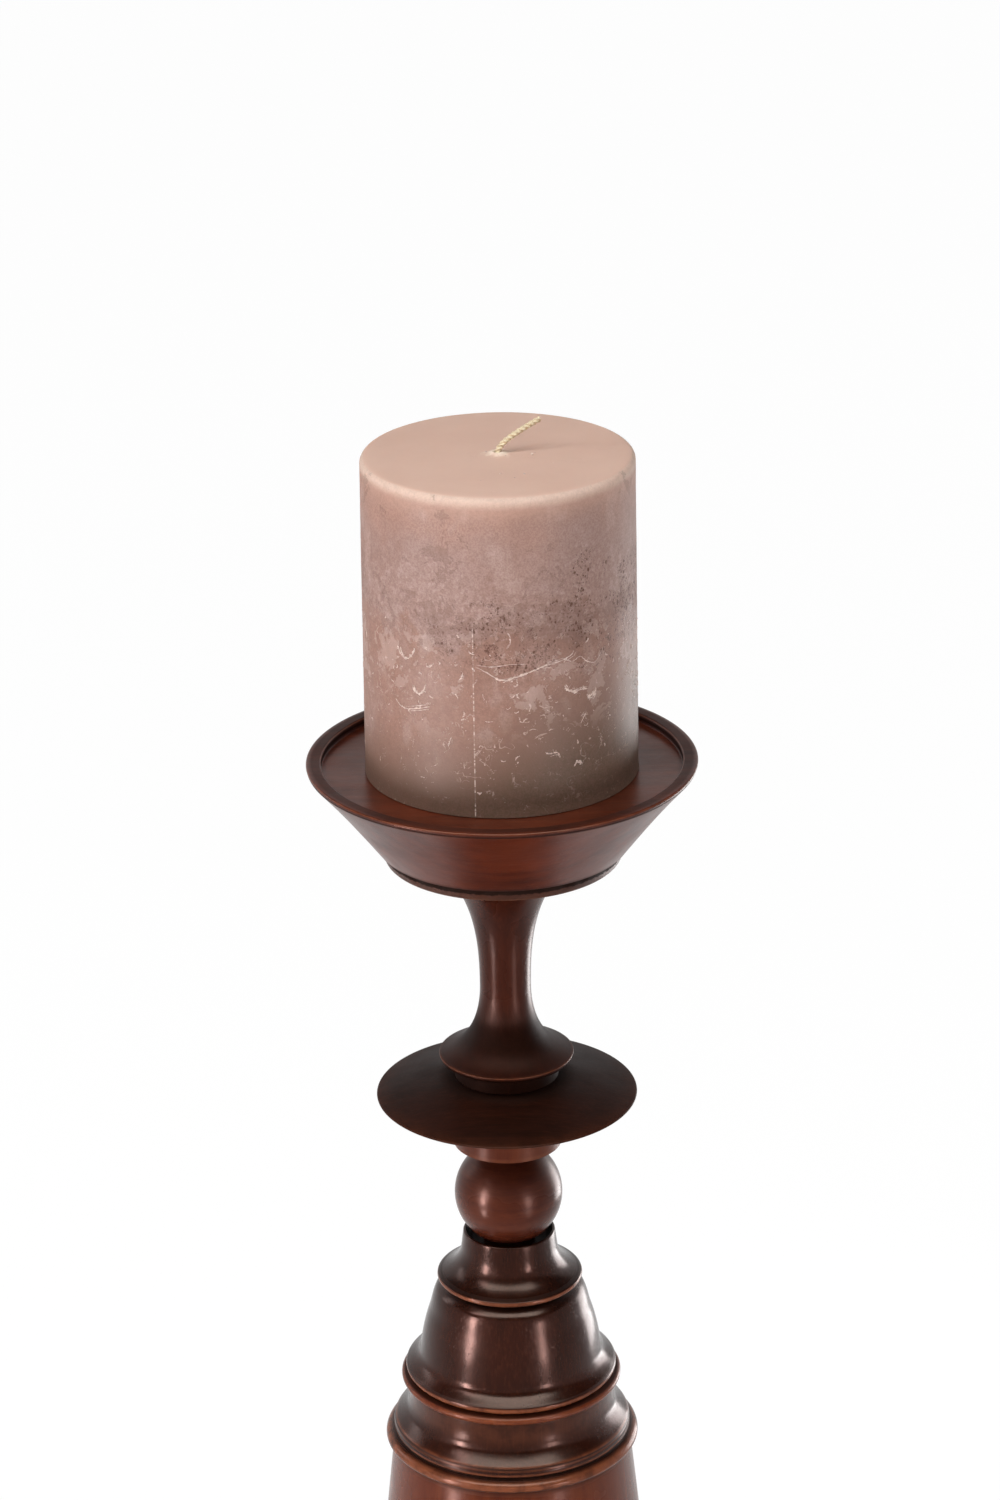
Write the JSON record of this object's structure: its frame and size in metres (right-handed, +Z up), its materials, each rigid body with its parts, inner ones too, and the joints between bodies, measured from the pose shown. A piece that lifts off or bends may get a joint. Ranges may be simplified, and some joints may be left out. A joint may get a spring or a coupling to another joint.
{
  "type": "wooden candle holder",
  "caption": "Tall turned wooden candle holder with stacked bell, ball and disc mouldings and a wide tray, holding a rustic pillar candle that lifts off",
  "frame": {"origin": "centre of the plane that the felt pads stand on", "axes": "+Z up along the turned axis, +X towards the side the wick bends to, -Y towards the viewer of the picture"},
  "size_m": [0.175, 0.175, 0.6132],
  "materials": {
    "dark_wood": "dark stained hardwood, satin lacquer",
    "warm_wood": "red-brown stained hardwood, satin lacquer, rubbed edges",
    "tray_wood": "brown stained hardwood, satin lacquer",
    "felt": "dark brown felt",
    "zinc_steel": "zinc-plated",
    "wax": "mottled dusty pink wax, dull sheen",
    "cotton": "waxed cotton"
  },
  "bodies": {
    "holder": {"felt_pad_1": "felt", "felt_pad_2": "felt", "felt_pad_3": "felt", "felt_pad_4": "felt", "base_plinth": "dark_wood", "foot_moulding": "dark_wood", "foot_bead": "warm_wood", "column": "warm_wood", "shoulder_ring": "dark_wood", "bead_ring": "warm_wood", "large_bell": "dark_wood", "cup_bell": "dark_wood", "ball": "warm_wood", "disc_collar": "warm_wood", "drip_disc": "dark_wood", "neck_spindle": "dark_wood", "tray_plate": "dark_wood", "candle_tray": "tray_wood", "rod_insert": "zinc_steel", "tie_rod": "zinc_steel", "rod_washer": "zinc_steel", "rod_nut": "zinc_steel"},
    "candle": {"candle_wax": "wax", "candle_wick": "cotton"}
  },
  "joints": [
    {"name": "candle_lift", "type": "slide", "parent": "holder", "child": "candle", "axis": [0, 0, 1], "range_m": [0, 0.15]}
  ]
}
